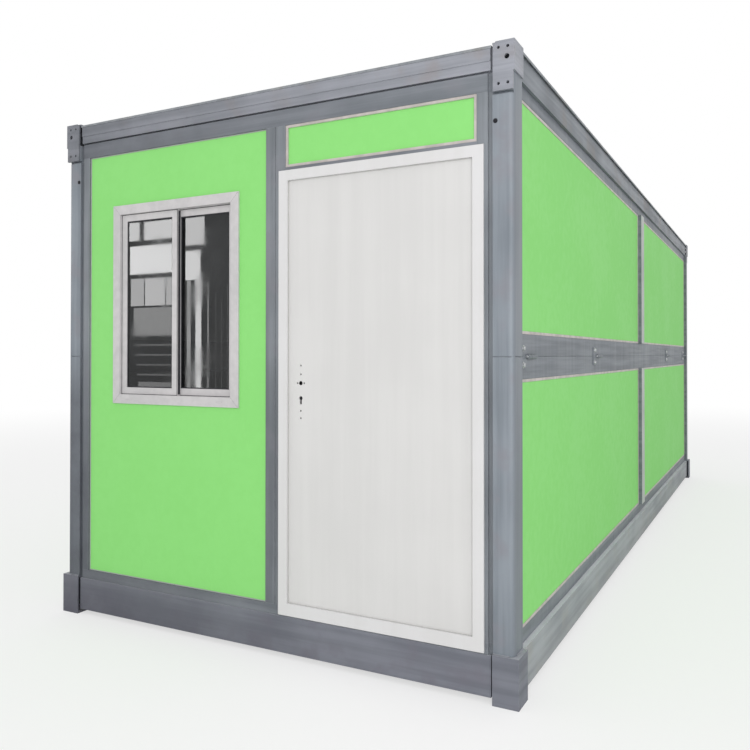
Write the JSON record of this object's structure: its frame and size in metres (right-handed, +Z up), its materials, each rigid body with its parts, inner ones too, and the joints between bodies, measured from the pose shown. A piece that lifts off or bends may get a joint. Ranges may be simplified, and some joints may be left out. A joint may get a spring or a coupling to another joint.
{
  "type": "folding container house",
  "caption": "Folding steel-framed cabin with green sandwich panels, fold seams at mid height, corner fittings, a sliding window and a hinged door.",
  "frame": {"origin": "on the ground under the middle of the house", "axes": "+Z up, the front wall with the door faces -Y, +X to the right seen from the front, +Y along the length"},
  "size_m": [2.44, 5.95, 2.5],
  "materials": {
    "frame_paint": "satin blue-grey paint on rolled steel",
    "dark_steel": "satin dark grey paint on steel",
    "green_panel": "matt green coil-coated steel sheet on a foam core",
    "door_paint": "satin off-white powder coat",
    "window_frame": "off-white extruded plastic",
    "edge_trim": "pale grey folded edge trim",
    "ceiling_sheet": "off-white coil-coated sheet",
    "floor_board": "sealed boards",
    "hinge_steel": "zinc-plated steel",
    "glass": "dark tinted float glass"
  },
  "bodies": {
    "house": {"base_beam_front": "frame_paint", "base_beam_rear": "frame_paint", "base_beam_left": "frame_paint", "base_beam_right": "frame_paint", "foot_front_left": "dark_steel", "foot_front_right": "dark_steel", "foot_rear_left": "dark_steel", "foot_rear_right": "dark_steel", "floor_joists": "dark_steel", "floor_deck": "floor_board", "roof_beam_front": "frame_paint", "roof_beam_rear": "frame_paint", "roof_beam_left": "frame_paint", "roof_beam_right": "frame_paint", "head_front_left": "frame_paint", "head_front_right": "frame_paint", "head_rear_left": "frame_paint", "head_rear_right": "frame_paint", "roof_sheet": "frame_paint", "roof_flashing": "frame_paint", "ceiling_panel": "ceiling_sheet", "left_lower_frame": "frame_paint", "left_upper_frame": "frame_paint", "right_lower_frame": "frame_paint", "right_upper_frame": "frame_paint", "left_panels": "green_panel", "right_panels": "green_panel", "left_seam_hinges": "frame_paint", "right_seam_hinges": "frame_paint", "front_stiles": "frame_paint", "front_rails": "frame_paint", "door_post": "frame_paint", "transom_panel": "green_panel", "window_panel": "green_panel", "window_frame": "window_frame", "window_left_sash": "window_frame", "window_right_sash": "window_frame", "window_glass": "glass", "door_frame": "door_paint", "door_lining": "door_paint", "door_hinge_pins": "hinge_steel", "rear_frame": "frame_paint", "rear_panels": "green_panel"},
    "door": {"door_leaf": "door_paint", "door_hinge_knuckles": "hinge_steel"}
  },
  "joints": [
    {"name": "door_swing", "type": "hinge", "parent": "house", "child": "door", "pos_m": [1.038, -2.9075, 1.159], "axis": [0, 0, -1], "range_deg": [0, 90]}
  ]
}
